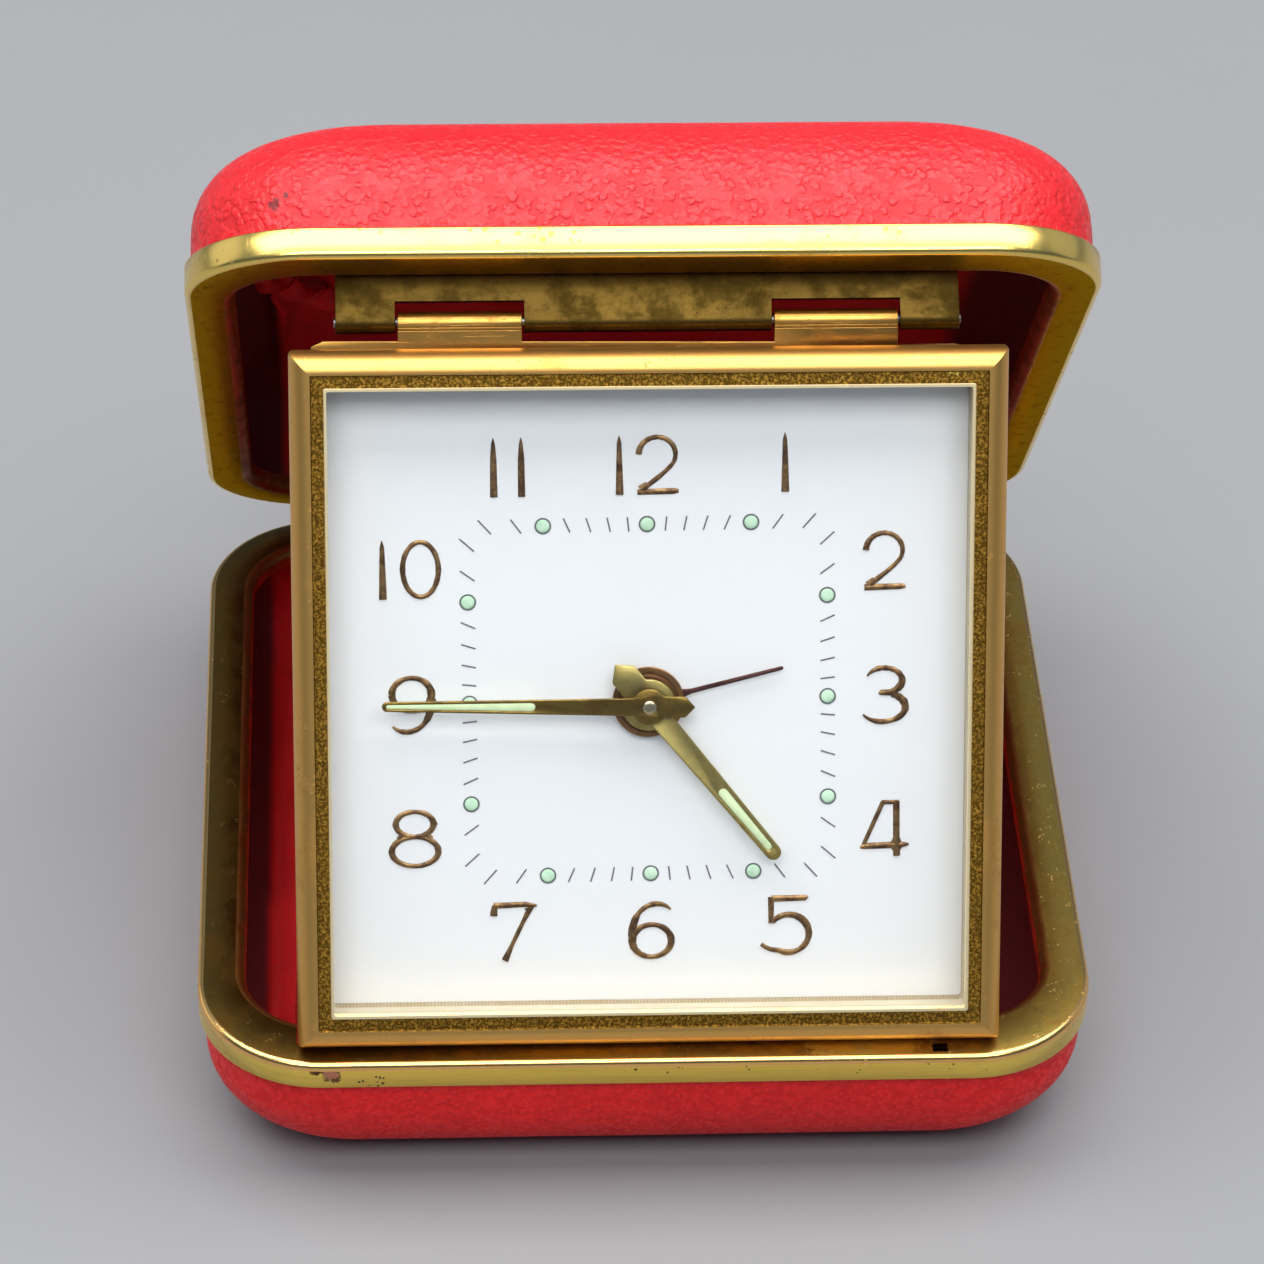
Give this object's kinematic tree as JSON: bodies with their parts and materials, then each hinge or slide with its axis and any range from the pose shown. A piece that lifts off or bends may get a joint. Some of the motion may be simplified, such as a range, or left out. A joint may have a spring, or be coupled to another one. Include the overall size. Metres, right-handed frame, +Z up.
{
  "type": "folding travel alarm clock",
  "caption": "Square alarm clock hinged inside a rounded leatherette clamshell case; the open lid and the clock prop each other up on the case rim.",
  "frame": {"origin": "centre of the flat underside of the case base", "axes": "+Z up, -Y towards the dial side, +X to the right of the dial; the case hinge runs along X at the back"},
  "size_m": [0.075, 0.0826, 0.0787],
  "materials": {
    "leather": "pebbled leatherette",
    "cloth": "satin cloth",
    "steel": "plain",
    "gilt": "worn gilt",
    "bezel": "satin, tarnished in the slope",
    "dull_brass": "dull",
    "brass": "machined",
    "dial_white": "matt white with printed figures",
    "cream": "ivory",
    "clear": "clear",
    "bronzed": "dark bronzed",
    "nickel": "nickel"
  },
  "bodies": {
    "base": {"base_cover": "leather", "base_shell": "steel", "base_rim": "gilt", "base_lining": "cloth", "base_hinge_leaf": "gilt", "case_hinge_pin": "steel", "catch_spring": "dull_brass"},
    "lid": {"lid_cover": "leather", "lid_shell": "steel", "lid_rim": "gilt", "lid_lining": "cloth", "lid_hinge_leaf": "gilt", "clock_bracket": "dull_brass", "clock_hinge_pin": "steel"},
    "clock": {"bezel": "bezel", "crystal": "clear", "dial_surround": "cream", "dial": "dial_white", "clock_case": "brass", "back_cover": "brass", "back_screw_1": "nickel", "back_screw_2": "nickel", "back_screw_3": "nickel", "back_screw_4": "nickel", "clock_hinge_leaf": "gilt", "movement_front_plate": "brass", "movement_back_plate": "brass", "fourth_wheel": "brass", "escape_wheel": "brass", "pallet_lever": "steel", "hairspring": "steel"},
    "minute_work": {"minute_hand": "dull_brass", "centre_arbor": "brass", "time_setting_knob": "brass"},
    "hour_work": {"hour_hand": "dull_brass", "hour_wheel": "brass"},
    "alarm_pointer": {"alarm_hand": "bronzed", "alarm_wheel": "brass"},
    "motion_wheel": {"minute_wheel": "brass"},
    "train_wheel": {"third_wheel": "brass"},
    "time_spring_barrel": {"time_barrel": "brass"},
    "alarm_spring_barrel": {"alarm_barrel": "brass"},
    "time_winder": {"time_winding_arbor": "steel", "time_winding_key": "brass"},
    "alarm_winder": {"alarm_winding_arbor": "steel", "alarm_winding_key": "brass"},
    "alarm_setter": {"alarm_setting_arbor": "brass", "alarm_setting_knob": "brass"},
    "balance": {"balance_wheel": "brass"},
    "regulator": {"regulator_lever": "nickel"},
    "alarm_stop": {"alarm_stop_lever": "brass"},
    "hammer": {"alarm_hammer": "steel"}
  },
  "joints": [
    {"name": "lid_hinge", "type": "hinge", "parent": "base", "child": "lid", "pos_m": [0, 0.0385, 0.01415], "axis": [-1, 0, 0], "range_deg": [0, 44]},
    {"name": "clock_hinge", "type": "hinge", "parent": "lid", "child": "clock", "pos_m": [0, -0.00711, 0.06714], "axis": [1, 0, 0], "range_deg": [-60, 63.5]},
    {"name": "minute_turn", "type": "hinge", "parent": "clock", "child": "minute_work", "pos_m": [0, -0.0205, 0.03874], "axis": [0, 0.9005, -0.4349], "continuous": true},
    {"name": "hour_turn", "type": "hinge", "parent": "clock", "child": "hour_work", "pos_m": [0, -0.0205, 0.03874], "axis": [0, 0.9005, -0.4349], "continuous": true},
    {"name": "motion_wheel_turn", "type": "hinge", "parent": "clock", "child": "motion_wheel", "pos_m": [-0.00491, -0.022, 0.03564], "axis": [0, 0.9005, -0.4349], "continuous": true},
    {"name": "third_wheel_turn", "type": "hinge", "parent": "clock", "child": "train_wheel", "pos_m": [0.00202, -0.01452, 0.04422], "axis": [0, 0.9005, -0.4349], "continuous": true},
    {"name": "time_barrel_turn", "type": "hinge", "parent": "clock", "child": "time_spring_barrel", "pos_m": [-0.01084, -0.01909, 0.03245], "axis": [0, 0.9005, -0.4349], "continuous": true},
    {"name": "alarm_setting_turn", "type": "hinge", "parent": "clock", "child": "alarm_setter", "pos_m": [-0.00441, -0.01416, 0.04266], "axis": [0, 0.9005, -0.4349], "continuous": true},
    {"name": "alarm_pointer_turn", "type": "hinge", "parent": "clock", "child": "alarm_pointer", "pos_m": [0, -0.0205, 0.03874], "axis": [0, 0.9005, -0.4349], "continuous": true},
    {"name": "alarm_barrel_turn", "type": "hinge", "parent": "clock", "child": "alarm_spring_barrel", "pos_m": [0.01165, -0.01926, 0.0321], "axis": [0, 0.9005, -0.4349], "continuous": true},
    {"name": "time_winding_turn", "type": "hinge", "parent": "clock", "child": "time_winder", "pos_m": [-0.01084, -0.01459, 0.03027], "axis": [0, 0.9005, -0.4349], "continuous": true},
    {"name": "alarm_winding_turn", "type": "hinge", "parent": "clock", "child": "alarm_winder", "pos_m": [0.01165, -0.01476, 0.02993], "axis": [0, 0.9005, -0.4349], "continuous": true},
    {"name": "balance_swing", "type": "hinge", "parent": "clock", "child": "balance", "pos_m": [0.0095, -0.00968, 0.05195], "axis": [0, 0.9005, -0.4349], "range_deg": [-150, 150], "stiffness_Nm_per_rad": 0.00002},
    {"name": "regulator_turn", "type": "hinge", "parent": "clock", "child": "regulator", "pos_m": [0.0095, -0.00698, 0.05064], "axis": [0, 0.9005, -0.4349], "range_deg": [-20, 20]},
    {"name": "alarm_stop_slide", "type": "slide", "parent": "clock", "child": "alarm_stop", "axis": [1, 0, 0], "range_m": [0, 0.003]},
    {"name": "hammer_swing", "type": "hinge", "parent": "clock", "child": "hammer", "pos_m": [0.0206, -0.01377, 0.04348], "axis": [0, 0.9005, -0.4349], "range_deg": [-6, 6]}
  ],
  "couplings": [
    {"joint": "hour_turn", "follows": "minute_turn", "ratio": 0.083333},
    {"joint": "motion_wheel_turn", "follows": "minute_turn", "ratio": -0.33333},
    {"joint": "third_wheel_turn", "follows": "minute_turn", "ratio": -5.5},
    {"joint": "time_barrel_turn", "follows": "minute_turn", "ratio": -0.18182},
    {"joint": "alarm_pointer_turn", "follows": "alarm_setting_turn", "ratio": -0.33333}
  ]
}
